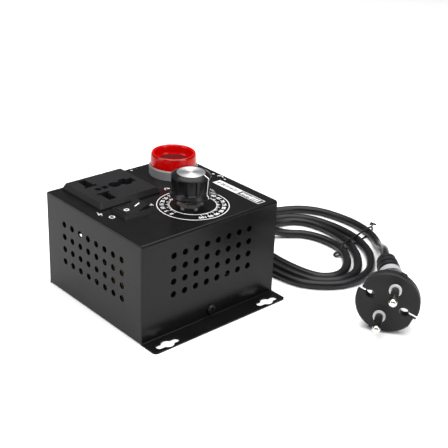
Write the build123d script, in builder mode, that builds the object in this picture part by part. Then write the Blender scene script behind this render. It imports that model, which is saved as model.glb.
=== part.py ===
"""Bench voltage regulator: a folded sheet-metal box with a control knob on a printed dial,
a pilot lamp, a rocker switch and a universal outlet on top, and a mains cord with a round plug.

Millimetres. Origin at the centre of the underside, +Z up, the user's side faces -Y.
"""
import math
import os

from build123d import *

os.makedirs("parts", exist_ok=True)

# Enclosure
BOX_X = 92.0            # outside width of the cover
BOX_Y = 100.0           # outside depth
BOX_Z = 61.0            # outside height
SHEET = 1.0             # sheet thickness
FLANGE = 12.0           # width of each mounting flange
FLANGE_R = 2.5          # flange corner radius
GAP = 0.15              # gap between the tray's panels and the cover
VENT_R = 1.95
VENT_PITCH = 8.0
SIDE_VENT_Z = 37.0      # middle of the side walls' vent grid
END_VENT_Z = 34.0       # middle of the front panel's vent grid
SLOT_X, SLOT_Y = 53.8, 38.0
SLOT_LONG, SLOT_WIDE, SLOT_HUB_R = 15.6, 4.1, 3.75
LEFT_FLANGE_Y = 82.0    # the left flange is shorter, and its slots are closer
LEFT_SLOT_Y = 29.0
COVER_SCREWS = [(1, 0.0, 5.8), (-1, -45.5, 4.4), (-1, 45.5, 4.4)]   # side, y and z

# Things on the top panel
DIAL = (20.6, 6.3)      # middle of the printed dial
KNOB = (19.5, 5.1)      # axis of the knob, a little off the print
LAMP = (-24.8, 28.4)
OUTLET = (-23.3, -19.8)
PINS_X = -23.0          # middle of the outlet's holes
SWITCH = (6.5, -26.4)
TOP = BOX_Z

# Knob and potentiometer
POINTER_DEG = 20.0
SHAFT_R = 3.0
RUN_CLEAR = 0.05
KNOB_BOTTOM, KNOB_TOP = TOP + 6.0, TOP + 20.4

# Rocker
ROCKER_R = 8.4
ROCKER_HALF_TRAVEL = 10.0
PIVOT_Z = 60.0

# Cord and plug
CORD_R = 2.8
GLAND = (-9.0, 20.0)    # x and z of the gland on the rear panel
GLAND_END_Y = 66.0
COIL_H = 5.8
FACE = Vector(120.1, 67.6, 19.3)        # centre of the plug's front face
PIN_DIR = Vector(0.554, -0.830, 0.061).normalized()
PIN_ROW = Vector(0.282, 0.256, 0.924)
PIN_ROW = (PIN_ROW - PIN_DIR * PIN_ROW.dot(PIN_DIR)).normalized()
BODY_LONG = 31.0                        # plug body, from its face to the neck
NECK_LONG = 22.0
NECK_DIR = Vector(-0.763, 0.633, 0.131).normalized()    # the neck is bent by the cord
BODY_END = FACE - PIN_DIR * BODY_LONG
NECK_END = BODY_END + NECK_DIR * NECK_LONG


def save(piece, name):
    """Label one finished piece and write it."""
    piece.part.label = name
    export_step(piece.part, f"parts/{name}.step")


# ---------------------------------------------------------------- enclosure

# Cover: top and both side walls from one sheet, with out-turned mounting flanges
with BuildPart() as cover:
    with BuildSketch(Plane.XZ):
        with Locations((0, BOX_Z / 2)):
            Rectangle(BOX_X, BOX_Z)
        with Locations((0, BOX_Z / 2 - SHEET)):
            Rectangle(BOX_X - 2 * SHEET, BOX_Z, mode=Mode.SUBTRACT)
        with Locations((0, SHEET / 2)):
            Rectangle(BOX_X + 2 * FLANGE, SHEET)
            Rectangle(BOX_X - 2 * SHEET, SHEET, mode=Mode.SUBTRACT)
    extrude(amount=BOX_Y / 2, both=True)
    bends = edges().filter_by(Axis.Y).filter_by(lambda e: abs(abs(e.center().X) - BOX_X / 2) < 0.1)
    fillet(bends.group_by(Axis.Z)[-1], 1.6)
    fillet(bends.group_by(Axis.Z)[0], 0.6)
    lips = edges().filter_by(Axis.X).group_by(Axis.Z)[-1]
    chamfer(lips, 0.3)
    for end in (1, -1):
        with Locations((-BOX_X / 2 - FLANGE / 2, end * (BOX_Y + LEFT_FLANGE_Y) / 4, SHEET / 2)):
            Box(FLANGE, (BOX_Y - LEFT_FLANGE_Y) / 2, SHEET, mode=Mode.SUBTRACT)
    fillet(edges().filter_by(Axis.Z).filter_by(lambda e: abs(e.center().X) > 57), FLANGE_R)
    with BuildSketch(Plane.YZ.offset(-BOX_X)):
        with Locations((0, SIDE_VENT_Z)):
            with GridLocations(VENT_PITCH, VENT_PITCH, 8, 4):
                Circle(VENT_R)
    extrude(amount=2 * BOX_X, mode=Mode.SUBTRACT)
    with Locations([(side * BOX_X / 2, y, z) for side, y, z in COVER_SCREWS]):
        Cylinder(1.7, 4.0, rotation=(0, 90, 0), mode=Mode.SUBTRACT)
    with BuildSketch(Plane.XY.offset(-1)):
        with Locations((SLOT_X, SLOT_Y), (SLOT_X, -SLOT_Y), (-SLOT_X, LEFT_SLOT_Y),
                       (-SLOT_X, -LEFT_SLOT_Y)):
            SlotOverall(SLOT_LONG, SLOT_WIDE, rotation=90)
            Circle(SLOT_HUB_R)
    extrude(amount=3, mode=Mode.SUBTRACT)
    with BuildSketch(Plane.XY.offset(BOX_Z - 3)):
        with Locations(OUTLET):
            Rectangle(34.0, 37.0)
        with Locations(LAMP):
            Circle(11.2)
        with Locations(SWITCH):
            Rectangle(13.4, 19.6)
        with Locations(KNOB):
            Circle(3.7)
    extrude(amount=5, mode=Mode.SUBTRACT)
save(cover, "cover")

# Base tray: bottom, front panel and rear panel from one sheet, with upturned side lips
TRAY_X = BOX_X - 2 * SHEET - 2 * GAP
PANEL_TOP = BOX_Z - SHEET - 0.25
with BuildPart() as base_tray:
    with BuildSketch(Plane.YZ):
        with Locations((0, PANEL_TOP / 2)):
            Rectangle(BOX_Y, PANEL_TOP)
        with Locations((0, PANEL_TOP / 2 + SHEET)):
            Rectangle(BOX_Y - 2 * SHEET, PANEL_TOP, mode=Mode.SUBTRACT)
    extrude(amount=TRAY_X / 2, both=True)
    fillet(edges().filter_by(Axis.X).group_by(Axis.Z)[0], 1.0)
    with Locations((TRAY_X / 2 - SHEET / 2, 0, 6.5), (-TRAY_X / 2 + SHEET / 2, 0, 6.5)):
        Box(SHEET, BOX_Y - 2 * SHEET, 11)
    with Locations([(side * (TRAY_X - SHEET) / 2, y, z) for side, y, z in COVER_SCREWS]):
        Cylinder(1.45, 3.0, rotation=(0, 90, 0), mode=Mode.SUBTRACT)
    with BuildSketch(Plane.XZ.offset(BOX_Y / 2 - 3)):
        with Locations((0, END_VENT_Z)):
            with GridLocations(VENT_PITCH, VENT_PITCH, 8, 4):
                Circle(VENT_R)
    extrude(amount=5, mode=Mode.SUBTRACT)
    with BuildSketch(Plane.XZ.offset(-BOX_Y / 2 - 3)):
        with Locations((0, END_VENT_Z + VENT_PITCH)):
            with GridLocations(VENT_PITCH, VENT_PITCH, 8, 2):
                Circle(VENT_R)
        with Locations(GLAND):
            Circle(6.2)
    extrude(amount=5, mode=Mode.SUBTRACT)
save(base_tray, "base_tray")

# Cover screws: pan-head screws through the side walls into the tray's lips
with BuildPart() as cover_screws:
    for side, at_y, at_z in COVER_SCREWS:
        wall = Plane((side * BOX_X / 2, at_y, at_z), x_dir=(0, 1, 0), z_dir=(side, 0, 0))
        with BuildSketch(wall):
            Circle(2.8)
        extrude(amount=1.7)
        with BuildSketch(wall):
            Circle(1.4)
        extrude(amount=-5.5)
        with BuildSketch(wall.offset(1.7)):
            Rectangle(3.2, 0.7)
            Rectangle(0.7, 3.2)
        extrude(amount=-0.9, mode=Mode.SUBTRACT)
    heads = edges().filter_by(GeomType.CIRCLE)
    fillet(heads.filter_by(lambda e: abs(e.center().X) > 47.6 and e.radius > 2.5), 0.9)
save(cover_screws, "cover_screws")

# ---------------------------------------------------------------- outlet


def outlet_holes():
    """Hole pattern of a universal outlet, drawn into the sketch that is open."""
    with Locations((PINS_X - 11.1, -30.3), (PINS_X + 11.1, -30.3)):
        Rectangle(10.5, 5.0)
    with Locations((PINS_X - 9.5, -30.3), (PINS_X + 9.5, -30.3)):
        Circle(2.9)
    with Locations((PINS_X - 6.35, -30.3), (PINS_X + 6.35, -30.3)):
        Rectangle(2.0, 8.5)
    with Locations((PINS_X, -8.1)):
        Rectangle(5.4, 8.6)
    with Locations((PINS_X, -10.0)):
        Rectangle(9.0, 4.8)
    with Locations((PINS_X, -15.5)):
        Rectangle(5.0, 7.0)
    with Locations((PINS_X, -17.8)):
        Circle(3.6)


# Outlet face: bevelled plate on the panel, with a skirt through the cut-out
with BuildPart() as outlet_face:
    with BuildSketch(Plane.XY.offset(TOP)):
        with Locations(OUTLET):
            RectangleRounded(39.6, 43.0, 1.2)
    with BuildSketch(Plane.XY.offset(TOP + 0.9)):
        with Locations(OUTLET):
            RectangleRounded(39.6, 43.0, 1.2)
    loft()
    with BuildSketch(Plane.XY.offset(TOP + 0.9)):
        with Locations(OUTLET):
            RectangleRounded(39.6, 43.0, 1.2)
    with BuildSketch(Plane.XY.offset(TOP + 3.8)):
        with Locations(OUTLET):
            RectangleRounded(36.4, 39.8, 0.8)
    loft()
    with BuildSketch(Plane.XY.offset(TOP - 4.0)):
        with Locations(OUTLET):
            Rectangle(33.6, 36.6)
    extrude(amount=4.0)
    with BuildSketch(Plane.XY.offset(TOP - 5)):
        outlet_holes()
        with Locations((PINS_X, -24.6)):
            Rectangle(3.7, 3.5)
        with Locations((PINS_X, -29.4)):
            Circle(2.0)
    extrude(amount=10, mode=Mode.SUBTRACT)
save(outlet_face, "outlet_face")

# Outlet body: moulded block under the face, with blind chambers under the holes
with BuildPart() as outlet_body:
    with BuildSketch(Plane.XY.offset(TOP - 25)):
        with Locations(OUTLET):
            RectangleRounded(33.6, 36.6, 2.0)
    extrude(amount=21)
    with BuildSketch(Plane.XY.offset(TOP - 23)):
        outlet_holes()
    extrude(amount=20, mode=Mode.SUBTRACT)
save(outlet_body, "outlet_body")

# Outlet contacts: a brass leaf on the wall of each chamber, with a tag below the body
with BuildPart() as outlet_contacts:
    with Locations((PINS_X - 16.1, -30.3, TOP - 15), (PINS_X + 16.1, -30.3, TOP - 15)):
        Box(0.5, 4.4, 15)
    with Locations((PINS_X, -4.1, TOP - 15)):
        Box(4.6, 0.5, 15)
save(outlet_contacts, "outlet_contacts")

# Outlet latches: two spring wedges that hold the outlet under the panel
with BuildPart() as outlet_latches:
    for side in (1, -1):
        at_y = OUTLET[1] + side * (18.3 + 0.9)
        with Locations((OUTLET[0], at_y, TOP - SHEET - 2.0)):
            Box(9.0, 1.8, 4.0)
    low = edges().filter_by(Axis.X).group_by(Axis.Z)[0]
    chamfer(low, 0.8)
save(outlet_latches, "outlet_latches")

# ---------------------------------------------------------------- rocker switch

# Switch housing: bezel on the panel and box below it
with BuildPart() as switch_housing:
    with BuildSketch(Plane.XY.offset(TOP)):
        with Locations(SWITCH):
            RectangleRounded(15.0, 21.0, 0.8)
    with BuildSketch(Plane.XY.offset(TOP + 1.8)):
        with Locations(SWITCH):
            RectangleRounded(13.4, 19.4, 0.6)
    loft()
    with BuildSketch(Plane.XY.offset(TOP - 14)):
        with Locations(SWITCH):
            Rectangle(13.0, 19.2)
    extrude(amount=14)
    with BuildSketch(Plane.XY.offset(TOP - 10.2)):
        with Locations(SWITCH):
            Rectangle(11.4, 17.6)
    extrude(amount=14, mode=Mode.SUBTRACT)
    with Locations((SWITCH[0], SWITCH[1], PIVOT_Z)):
        Cylinder(1.05, 13.0, rotation=(0, 90, 0), mode=Mode.SUBTRACT)
    with Locations((SWITCH[0], SWITCH[1] - 9.75, TOP - 2.6), (SWITCH[0], SWITCH[1] + 9.75, TOP - 2.6)):
        Box(6.0, 0.3, 3.0)
save(switch_housing, "switch_housing")

# Rocker: drawn level about its pivot, then tipped to the off position
def tipped(angle):
    """Plane across the pivot, with its X axis tipped up from +Y by the angle."""
    along = (0, math.cos(math.radians(angle)), math.sin(math.radians(angle)))
    return Plane((SWITCH[0], SWITCH[1], PIVOT_Z), x_dir=along, z_dir=(1, 0, 0))


rocker_plane = tipped(ROCKER_HALF_TRAVEL)
with BuildPart() as switch_rocker:
    with BuildSketch(rocker_plane):
        Circle(ROCKER_R)
        with BuildLine():
            Polyline((-9, 4.4), (0, 2.6), (9, 4.4), (9, 12), (-9, 12), close=True)
        make_face(mode=Mode.SUBTRACT)
        with Locations((0, -9)):
            Rectangle(20, 10, mode=Mode.SUBTRACT)
    extrude(amount=5.4, both=True)
    with BuildSketch(rocker_plane):
        Circle(1.0)
    extrude(amount=6.4, both=True)
save(switch_rocker, "switch_rocker")

# Rocker marks: a raised bar and a raised ring, printed white
with BuildPart() as rocker_marks:
    dish = math.degrees(math.atan2(1.8, 9.0))
    on_end = tipped(ROCKER_HALF_TRAVEL + dish)
    off_end = tipped(ROCKER_HALF_TRAVEL - dish)
    lift = 2.6 * math.cos(math.radians(dish))
    on_face = Plane(on_end.origin + on_end.y_dir * lift, x_dir=(1, 0, 0), z_dir=on_end.y_dir)
    off_face = Plane(off_end.origin + off_end.y_dir * lift, x_dir=(1, 0, 0), z_dir=off_end.y_dir)
    with BuildSketch(on_face):
        with Locations((0, 4.3)):
            Rectangle(0.7, 3.4)
    extrude(amount=0.1)
    with BuildSketch(off_face):
        with Locations((0, -4.3)):
            Ellipse(1.45, 1.7)
            Ellipse(0.85, 1.1, mode=Mode.SUBTRACT)
    extrude(amount=0.1)
save(rocker_marks, "rocker_marks")

# Switch terminals: four brass blades
with BuildPart() as switch_terminals:
    with Locations((SWITCH[0], SWITCH[1], TOP - 18)):
        with GridLocations(7.0, 10.0, 2, 2):
            Box(0.8, 4.8, 8.0)
save(switch_terminals, "switch_terminals")

# ---------------------------------------------------------------- pilot lamp

lamp_axis = Plane((LAMP[0], LAMP[1], TOP), x_dir=(1, 0, 0), z_dir=(0, -1, 0))


def turned(plane, points):
    """Revolve a closed radius-height outline about the plane's own Y axis."""
    corners = [plane.from_local_coords((radius, height)) for radius, height in points]
    revolve(Face(Wire.make_polygon(corners)), axis=Axis(plane.origin, plane.y_dir))


# Lamp body: flanged barrel through the panel, with a seat for the lens
with BuildPart() as lamp_body:
    turned(lamp_axis, [(9.8, -34), (11.0, -34), (11.0, 0), (15.1, 0), (15.1, 5.2), (14.6, 6.0),
                       (14.45, 6.0), (14.45, 4.0), (9.8, 4.0)])
save(lamp_body, "lamp_body")

# Lens: moulded cap with a raised rim and a sunk centre
with BuildPart() as lamp_lens:
    turned(lamp_axis, [(12.6, 4.0), (14.36, 4.0), (14.3, 7.0), (13.85, 12.6), (13.1, 13.5),
                       (12.3, 13.5), (11.7, 12.4), (10.9, 7.4), (9.6, 6.6), (0, 6.2), (0, 4.9),
                       (10.8, 5.3)])
save(lamp_lens, "lamp_lens")

# Lamp insert: the lit block under the lens
with BuildPart() as lamp_insert:
    with Locations((LAMP[0], LAMP[1], TOP - 0.5)):
        Box(14.0, 9.0, 10.0)
save(lamp_insert, "lamp_insert")

# Lamp nut and gasket under the panel
with BuildPart() as lamp_gasket:
    turned(lamp_axis, [(11.05, -2.0), (14.0, -2.0), (14.0, -1.0), (11.05, -1.0)])
save(lamp_gasket, "lamp_gasket")
with BuildPart() as lamp_nut:
    with BuildSketch(Plane.XY.offset(TOP - 6)):
        with Locations(LAMP):
            RegularPolygon(14.6, 6)
            Circle(11.05, mode=Mode.SUBTRACT)
    extrude(amount=4.0)
save(lamp_nut, "lamp_nut")

# Lamp cap: closes the barrel and carries two terminals
with BuildPart() as lamp_cap:
    with Locations((LAMP[0], LAMP[1], TOP - 32.0)):
        Cylinder(9.8, 4.0)
save(lamp_cap, "lamp_cap")
with BuildPart() as lamp_terminals:
    with Locations((LAMP[0] - 4, LAMP[1], TOP - 36.8), (LAMP[0] + 4, LAMP[1], TOP - 36.8)):
        Box(0.8, 3.0, 5.6)
save(lamp_terminals, "lamp_terminals")

# ---------------------------------------------------------------- potentiometer

knob_axis = Plane((KNOB[0], KNOB[1], TOP), x_dir=(1, 0, 0), z_dir=(0, -1, 0))

# Potentiometer case: hollow cup with the threaded bushing
with BuildPart() as pot_case:
    turned(knob_axis, [(SHAFT_R + RUN_CLEAR, -4.6), (SHAFT_R + RUN_CLEAR, 5.0), (3.2, 5.2),
                       (3.5, 4.9), (3.5, -1.0), (5.0, -1.0), (5.0, -3.0), (12.0, -3.0),
                       (12.0, -14.0), (11.0, -14.0), (11.0, -4.6)])
save(pot_case, "pot_case")

# Back plate of the case
with BuildPart() as pot_back:
    with Locations((KNOB[0], KNOB[1], TOP - 13.25)):
        Cylinder(11.0, 1.5)
save(pot_back, "pot_back")

# Resistive track on the back plate
with BuildPart() as pot_track:
    with BuildSketch(Plane.XY.offset(TOP - 12.5)):
        with Locations(KNOB):
            Circle(9.6)
            Circle(6.4, mode=Mode.SUBTRACT)
        with Locations((KNOB[0], KNOB[1] - 8)):
            Rectangle(5, 6, mode=Mode.SUBTRACT)
    extrude(amount=0.6)
save(pot_track, "pot_track")

# Three terminals of the potentiometer
with BuildPart() as pot_terminals:
    with Locations((KNOB[0], KNOB[1] - 12.2 - 2.0, TOP - 13.4)):
        with GridLocations(5.0, 1.0, 3, 1):
            Box(2.0, 4.4, 0.6)
save(pot_terminals, "pot_terminals")

# Washer and nut that hold the bushing
with BuildPart() as pot_washer:
    turned(knob_axis, [(3.55, 0), (7.7, 0), (7.7, 0.7), (3.55, 0.7)])
save(pot_washer, "pot_washer")
with BuildPart() as pot_nut:
    with BuildSketch(Plane.XY.offset(TOP + 0.7)):
        with Locations(KNOB):
            RegularPolygon(5.8, 6)
            Circle(3.55, mode=Mode.SUBTRACT)
    extrude(amount=2.1)
save(pot_nut, "pot_nut")

# Shaft with a rotor disc inside the case
with BuildPart() as pot_shaft:
    turned(knob_axis, [(0, -10.6), (8.0, -10.6), (8.0, -9.4), (SHAFT_R, -9.4), (SHAFT_R, 16.0),
                       (0, 16.0)])
save(pot_shaft, "pot_shaft")

# Wiper: brass spring on the rotor, just clear of the track
with BuildPart() as pot_wiper:
    wiper_plane = Plane((KNOB[0], KNOB[1], TOP - 11.0)).rotated((0, 0, POINTER_DEG))
    with BuildSketch(wiper_plane):
        with Locations((5.0, 0)):
            Rectangle(8.0, 2.0)
    extrude(amount=0.4)
    with BuildSketch(wiper_plane):
        with Locations((8.4, 0)):
            Rectangle(1.2, 2.0)
    extrude(amount=-0.5)
save(pot_wiper, "pot_wiper")

# ---------------------------------------------------------------- knob

# Knob: skirt and fluted grip, with a blind bore and a shallow seat for the inlay
with BuildPart() as knob:
    with BuildSketch(Plane.XY.offset(KNOB_BOTTOM)):
        with Locations(KNOB):
            Circle(11.5)
    extrude(amount=2.0)
    with BuildSketch(Plane.XY.offset(KNOB_BOTTOM + 2.0)):
        with Locations(KNOB):
            Circle(11.5)
    extrude(amount=KNOB_TOP - KNOB_BOTTOM - 2.0)
    rim = faces().sort_by(Axis.Z)[-1].edges()
    chamfer(rim, 1.8, 2.8)
    with BuildSketch(Plane.XY.offset(KNOB_BOTTOM + 2.4)):
        with Locations(KNOB):
            with PolarLocations(11.6, 10, start_angle=POINTER_DEG + 18):
                Rectangle(2.2, 4.4)
    extrude(amount=9.8, mode=Mode.SUBTRACT)
    with BuildSketch(Plane.XY.offset(KNOB_TOP - 0.5)):
        with Locations(KNOB):
            Circle(8.2)
    extrude(amount=1.0, mode=Mode.SUBTRACT)
    with BuildSketch(Plane.XY.offset(KNOB_BOTTOM - 1)):
        with Locations(KNOB):
            Circle(SHAFT_R)
    extrude(amount=TOP + 16.0 - KNOB_BOTTOM + 1, mode=Mode.SUBTRACT)
    grub_way = math.radians(POINTER_DEG + 180)
    grub_plane = Plane((KNOB[0], KNOB[1], KNOB_BOTTOM + 5.5), x_dir=(0, 0, 1),
                       z_dir=(math.cos(grub_way), math.sin(grub_way), 0))
    with BuildSketch(grub_plane):
        Circle(1.6)
    extrude(amount=14, mode=Mode.SUBTRACT)
save(knob, "knob")

# Inlay: spun aluminium disc in the top of the knob
with BuildPart() as knob_inlay:
    with Locations((KNOB[0], KNOB[1], KNOB_TOP - 0.25)):
        Cylinder(8.1, 0.5)
save(knob_inlay, "knob_inlay")

# Pointer: white line across the rim and down the grip
with BuildPart() as knob_pointer:
    hand = Plane((KNOB[0], KNOB[1], KNOB_TOP)).rotated((0, 0, POINTER_DEG))
    with BuildSketch(hand):
        with Locations((8.4, 0)):
            Rectangle(0.4, 0.6)
    extrude(amount=0.12)
    with BuildSketch(hand.offset(-2.0)):
        with Locations((11.58, 0)):
            Rectangle(0.16, 0.6)
    extrude(amount=-(KNOB_TOP - KNOB_BOTTOM - 4.0))
save(knob_pointer, "knob_pointer")

# Grub screw that holds the knob to the shaft
with BuildPart() as knob_grub:
    with BuildSketch(grub_plane.offset(SHAFT_R)):
        Circle(1.55)
    extrude(amount=5.0)
    with BuildSketch(grub_plane.offset(SHAFT_R + 5.0)):
        Rectangle(2.4, 0.5)
    extrude(amount=-0.8, mode=Mode.SUBTRACT)
save(knob_grub, "knob_grub")

# ---------------------------------------------------------------- print on the panel

# Dial: two rings, open at the front right, with a tick at each tenth of the scale
with BuildPart() as dial_print:
    with BuildSketch(Plane.XY.offset(TOP)):
        with Locations(DIAL):
            Circle(21.2)
            Circle(20.6, mode=Mode.SUBTRACT)
            Circle(14.1)
            Circle(13.5, mode=Mode.SUBTRACT)
            with PolarLocations(15.1, 11, start_angle=-22, angular_range=300):
                Rectangle(2.4, 0.5)
    extrude(amount=0.1)
save(dial_print, "dial_print")

# Label: thin strip along the rear edge of the panel
with BuildPart() as label_strip:
    with BuildSketch(Plane.XY.offset(TOP)):
        with Locations((22.6, 40.1)):
            Rectangle(40.2, 6.2)
    extrude(amount=0.1)
save(label_strip, "label_strip")

# ---------------------------------------------------------------- inside

BOARD_Z = 9.0
BOARD_TOP = BOARD_Z + 1.6

# Circuit board on four standoffs
with BuildPart() as circuit_board:
    with BuildSketch(Plane.XY.offset(BOARD_Z)):
        RectangleRounded(72, 78, 2)
        with GridLocations(64, 70, 2, 2):
            Circle(1.6, mode=Mode.SUBTRACT)
    extrude(amount=1.6)
save(circuit_board, "circuit_board")
with BuildPart() as standoffs:
    with BuildSketch(Plane.XY.offset(SHEET)):
        with GridLocations(64, 70, 2, 2):
            RegularPolygon(3.0, 6)
    extrude(amount=BOARD_Z - SHEET)
save(standoffs, "standoffs")
with BuildPart() as board_screws:
    with BuildSketch(Plane.XY.offset(BOARD_Z)):
        with GridLocations(64, 70, 2, 2):
            Circle(1.5)
    extrude(amount=1.6)
    with BuildSketch(Plane.XY.offset(BOARD_TOP)):
        with GridLocations(64, 70, 2, 2):
            Circle(2.8)
    extrude(amount=1.6)
    with BuildSketch(Plane.XY.offset(BOARD_TOP + 1.6)):
        with GridLocations(64, 70, 2, 2):
            Rectangle(3.0, 0.7)
            Rectangle(0.7, 3.0)
    extrude(amount=-0.8, mode=Mode.SUBTRACT)
save(board_screws, "board_screws")

# Heat sink: plate with fins
with BuildPart() as heat_sink:
    with Locations((28.0, -5.0, BOARD_TOP + 13)):
        Box(2.5, 44, 26)
    with Locations((31.5, -5.0, BOARD_TOP + 13)):
        with GridLocations(1, 7.0, 1, 7):
            Box(4.5, 1.2, 26)
save(heat_sink, "heat_sink")

# Triac against the heat sink, and its screw
with BuildPart() as triac:
    with Locations((26.1, 0, BOARD_TOP + 9.0)):
        Box(1.3, 10.2, 15.0)
    with Locations((24.6, 0, BOARD_TOP + 6.2)):
        Box(3.2, 10.2, 9.4)
    with Locations((25.2, 0, BOARD_TOP + 0.75)):
        with GridLocations(1, 2.54, 1, 3):
            Box(0.6, 0.8, 1.5)
    with BuildSketch(Plane.YZ.offset(20)):
        with Locations((0, BOARD_TOP + 13.6)):
            Circle(1.8)
    extrude(amount=6.75, mode=Mode.SUBTRACT)
save(triac, "triac")
with BuildPart() as triac_screw:
    with BuildSketch(Plane.YZ.offset(26.75)):
        with Locations((0, BOARD_TOP + 13.6)):
            Circle(1.5)
    extrude(amount=-1.3)
    with BuildSketch(Plane.YZ.offset(25.45)):
        with Locations((0, BOARD_TOP + 13.6)):
            Circle(2.4)
    extrude(amount=-1.6)
save(triac_screw, "triac_screw")

# Film capacitor, toroidal choke and resistors on the board
with BuildPart() as film_capacitor:
    with Locations((6.0, -26.0, BOARD_TOP + 6.5)):
        Box(26, 10, 13)
    fillet(edges().filter_by(Axis.Z), 0.8)
save(film_capacitor, "film_capacitor")
with BuildPart() as choke:
    with Locations((-10.0, -4.0, BOARD_TOP + 5.0)):
        Cylinder(12.0, 10.0)
        Cylinder(4.5, 10.0, mode=Mode.SUBTRACT)
    fillet(edges().filter_by(GeomType.CIRCLE), 1.5)
save(choke, "choke")
with BuildPart() as resistors:
    with Locations((8.0, -6.0, BOARD_TOP + 1.4), (8.0, -1.0, BOARD_TOP + 1.4),
                   (8.0, 4.0, BOARD_TOP + 1.4)):
        Cylinder(1.3, 8.0, rotation=(0, 90, 0))
save(resistors, "resistors")

# Fuse in its clips
with BuildPart() as fuse:
    with Locations((12.0, 14.0, BOARD_TOP + 5.2)):
        Cylinder(2.6, 20.0, rotation=(0, 90, 0))
save(fuse, "fuse")
with BuildPart() as fuse_clips:
    for at_x in (4.5, 19.5):
        with Locations((at_x, 14.0, BOARD_TOP + 0.6)):
            Box(4.0, 6.4, 1.2)
        with Locations((at_x, 11.0, BOARD_TOP + 4.0), (at_x, 17.0, BOARD_TOP + 4.0)):
            Box(4.0, 0.5, 8.0)
save(fuse_clips, "fuse_clips")

# Terminal block by the gland
with BuildPart() as terminal_block:
    with Locations((-12.0, 30.0, BOARD_TOP + 5.0)):
        Box(22, 9, 10)
    with BuildSketch(Plane.XY.offset(BOARD_TOP + 10)):
        with Locations((-12.0, 30.0)):
            with GridLocations(7, 1, 3, 1):
                Circle(2.0)
    extrude(amount=-3, mode=Mode.SUBTRACT)
save(terminal_block, "terminal_block")

# ---------------------------------------------------------------- cord


def cord_tube(points, name):
    """Round tube along straight runs joined by arcs as large as the runs allow."""
    spots = [Vector(*p) for p in points]
    radii = []
    for before, here, after in zip(spots, spots[1:], spots[2:]):
        turn = math.radians((here - before).get_angle(after - here))
        shorter = min((here - before).length, (after - here).length)
        radii.append(0.45 * shorter / math.tan(turn / 2))
    with BuildPart() as tube:
        with BuildLine():
            path = FilletPolyline(*spots, radius=radii)
        with BuildSketch(Plane(path @ 0, z_dir=path % 0)):
            Circle(CORD_R)
        sweep()
    wanted = math.pi * CORD_R**2 * path.length
    print(name, "radii", [round(r, 1) for r in radii], "length", round(path.length, 1),
          "volume", round(tube.part.volume, 1), "wanted", round(wanted, 1))
    return tube


# Gland: flanged strain relief through the rear panel
gland_axis = Plane((GLAND[0], BOX_Y / 2, GLAND[1]), x_dir=(1, 0, 0), z_dir=(0, 0, 1))
with BuildPart() as gland:
    turned(gland_axis, [(0, -5.0), (6.9, -5.0), (6.9, -1.0), (6.1, -1.0), (6.1, 0), (8.0, 0),
                        (8.0, 2.6), (6.0, 3.4), (5.4, 9.0), (3.9, 16.0), (0, 16.0)])
save(gland, "gland")

# Lead: from the gland over the outer turns into the coil
lead_points = [(GLAND[0], GLAND_END_Y, GLAND[1]), (-9.0, 76.0, 19.2), (-9.2, 86.0, 15.4),
               (-9.0, 95.5, 10.0), (-6.8, 104.0, 5.2)]
cord_lead = cord_tube(lead_points, "cord_lead")
save(cord_lead, "cord_lead")

# Coil: the outer shape of the lying turns
with BuildPart() as cord_coil:
    with BuildSketch():
        with Locations((16.6, 113.2)):
            Ellipse(58.2, 51.4)
        with Locations((26.0, 102.0)):
            Ellipse(30.5, 20.0, mode=Mode.SUBTRACT)
    extrude(amount=COIL_H)
    outer_rims = edges().group_by(Axis.Z)[-1]
    fillet(outer_rims, 2.0)
save(cord_coil, "cord_coil")

# Tail: from the plug's neck round into the outermost turn
tail_points = [(NECK_END.X, NECK_END.Y, NECK_END.Z), (79.4, 114.6, 19.8), (72.4, 122.6, 17.2),
               (65.4, 130.6, 12.8), (57.2, 139.0, 8.0), (48.8, 146.4, 4.2)]
cord_tail = cord_tube(tail_points, "cord_tail")
save(cord_tail, "cord_tail")

# Tie: a thin band over the turns
tie_plane = Plane((34.4, 140.8, 0), x_dir=(-0.255, 0.967, 0), z_dir=(0.967, 0.255, 0))
with BuildPart() as cord_tie:
    with BuildSketch(tie_plane):
        with Locations((0.8, 3.5)):
            Rectangle(48.0, 7.0)
        with Locations((0.8, 2.95)):
            Rectangle(46.4, 5.9, mode=Mode.SUBTRACT)
    extrude(amount=0.7, both=True)
save(cord_tie, "cord_tie")

# ---------------------------------------------------------------- plug

plug_front = Plane(FACE, x_dir=PIN_ROW, z_dir=PIN_DIR)
plug_turn = Plane(FACE, x_dir=PIN_ROW, z_dir=PIN_ROW.cross(PIN_DIR))

# Plug body: round front with two side notches, and a tapered grip with side channels
with BuildPart() as plug_body:
    turned(plug_turn, [(0, 0), (17.6, 0), (18.4, -0.8), (18.4, -5.2), (17.6, -6.0), (15.4, -12.0),
                       (12.0, -22.0), (9.2, -28.5), (8.2, -BODY_LONG), (0, -BODY_LONG)])
    with BuildSketch(plug_front.offset(-6.0)):
        with Locations((0, 14.9), (0, -14.9)):
            Rectangle(40.0, 14.0)
    extrude(amount=-26, mode=Mode.SUBTRACT)
    with BuildSketch(plug_front.offset(1)):
        with Locations((0, 10.6), (0, -10.6)):
            Ellipse(2.4, 3.0)
        with Locations((0.5, 16.2), (0.5, -16.2)):
            Rectangle(1.7, 7.4)
        with Locations((4.3, 18.6), (-4.3, -18.6)):
            Rectangle(7.0, 3.4)
    extrude(amount=-9, mode=Mode.SUBTRACT)
    with BuildSketch(plug_front.offset(-2.0)):
        with Locations((0, 16.6), (0, -16.6)):
            Rectangle(6.0, 6.0)
    extrude(amount=-5, mode=Mode.SUBTRACT)
    with BuildSketch(plug_front.offset(-1.0)):
        with Locations((17.9, 0), (-17.9, 0)):
            Rectangle(2.4, 4.0)
    extrude(amount=-4)
save(plug_body, "plug_body")

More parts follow.
